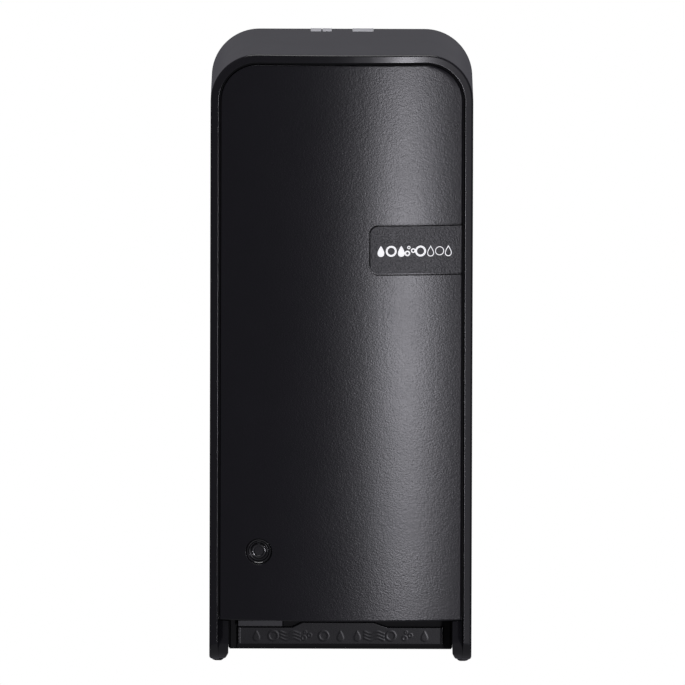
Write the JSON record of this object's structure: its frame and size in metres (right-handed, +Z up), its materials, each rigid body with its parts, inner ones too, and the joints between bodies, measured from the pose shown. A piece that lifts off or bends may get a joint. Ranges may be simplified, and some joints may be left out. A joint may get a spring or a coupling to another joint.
{
  "type": "wall mounted soap dispenser",
  "caption": "Wall mounted soap dispenser with a tall bowed cover that hinges up over a refill bottle and a battery driven foam pump with a sensor.",
  "frame": {"origin": "middle of the wall screw pattern, on the rear face of the wall plate", "axes": "+X right, +Y into the wall, +Z up along the longest extent"},
  "size_m": [0.12, 0.121, 0.281],
  "materials": {
    "cover_plastic": "fine textured satin",
    "panel_plastic": "satin, fine grain",
    "badge_plastic": "coarser grain with white print",
    "black_plastic": "satin",
    "grey_plastic": "satin",
    "steel": "zinc plated",
    "board": "solder mask",
    "lamp_lens": "clear resin",
    "window": "dark red, glossy",
    "rubber_seal": "soft matte",
    "wire_cover": "satin",
    "milky_plastic": "translucent white",
    "white_plastic": "satin",
    "gear_plastic": "natural acetal",
    "fork_plastic": "satin",
    "brass": "machined",
    "cell_sleeve": "shrink sleeve"
  },
  "bodies": {
    "wall_unit": {"wall_plate": "black_plastic", "hinge_bracket": "grey_plastic", "bracket_screws": "steel", "chassis": "black_plastic", "chassis_screws": "steel", "apron": "black_plastic", "lock_keeper": "black_plastic", "nozzle_grommet": "rubber_seal", "sensor_window": "window", "sensor_board": "board", "sensor_leds": "lamp_lens", "main_board": "board", "switch_body": "black_plastic", "wiring": "wire_cover", "refill_shelf": "black_plastic", "gear_frame": "black_plastic", "gear_frame_screws": "steel", "gear_shafts": "steel", "motor": "steel", "battery_box": "black_plastic", "battery_cells": "cell_sleeve", "battery_springs": "steel", "battery_contacts": "steel"},
    "cover": {"cover_shell": "cover_plastic", "front_panel": "panel_plastic", "badge": "badge_plastic", "hinge_pin": "steel", "lock_body": "black_plastic"},
    "lock": {"lock_plug": "black_plastic", "lock_cam": "steel", "cam_screw": "steel"},
    "refill": {"refill_bottle": "milky_plastic", "refill_cap": "white_plastic", "pump_body": "white_plastic"},
    "piston": {"pump_piston": "white_plastic", "pump_spring": "steel"},
    "actuator": {"actuator_fork": "fork_plastic"},
    "output_wheel": {"output_gear": "gear_plastic"},
    "middle_wheel": {"middle_gear": "gear_plastic"},
    "motor_wheel": {"motor_pinion": "brass"},
    "door": {"battery_door": "black_plastic"},
    "switch": {"switch_knob": "white_plastic"}
  },
  "joints": [
    {"name": "cover_hinge", "type": "hinge", "parent": "wall_unit", "child": "cover", "pos_m": [0, -0.0065, 0.1], "axis": [-1, 0, 0], "range_deg": [0, 90]},
    {"name": "lock_turn", "type": "hinge", "parent": "cover", "child": "lock", "pos_m": [-0.0374, -0.1, -0.1227], "axis": [0, 1, 0], "range_deg": [0, 90]},
    {"name": "refill_lift", "type": "slide", "parent": "wall_unit", "child": "refill", "axis": [0, 0, 1], "range_m": [0, 0.012]},
    {"name": "piston_stroke", "type": "slide", "parent": "refill", "child": "piston", "axis": [0, 0, 1], "range_m": [0, 0.008], "deforming": ["pump_spring"]},
    {"name": "fork_lift", "type": "slide", "parent": "wall_unit", "child": "actuator", "axis": [0, 0, 1], "range_m": [0, 0.00795]},
    {"name": "output_spin", "type": "hinge", "parent": "wall_unit", "child": "output_wheel", "pos_m": [0.027, -0.045, -0.105], "axis": [0, 1, 0], "range_deg": [0, 76]},
    {"name": "middle_spin", "type": "hinge", "parent": "wall_unit", "child": "middle_wheel", "pos_m": [0.027, -0.045, -0.1258], "axis": [0, 1, 0], "range_deg": [-254, 0]},
    {"name": "motor_spin", "type": "hinge", "parent": "wall_unit", "child": "motor_wheel", "pos_m": [0.027, -0.045, -0.1402], "axis": [0, 1, 0], "range_deg": [0, 761]},
    {"name": "battery_door_slide", "type": "slide", "parent": "wall_unit", "child": "door", "axis": [0, 0, 1], "range_m": [0, 0.062]},
    {"name": "switch_slide", "type": "slide", "parent": "wall_unit", "child": "switch", "axis": [0, 1, 0], "range_m": [0, 0.0045]}
  ],
  "couplings": [
    {"joint": "output_spin", "follows": "fork_lift", "rad_per_m": 166.67},
    {"joint": "piston_stroke", "follows": "fork_lift", "ratio": 1},
    {"joint": "middle_spin", "follows": "fork_lift", "rad_per_m": -555.56},
    {"joint": "motor_spin", "follows": "fork_lift", "rad_per_m": 1666.7}
  ]
}
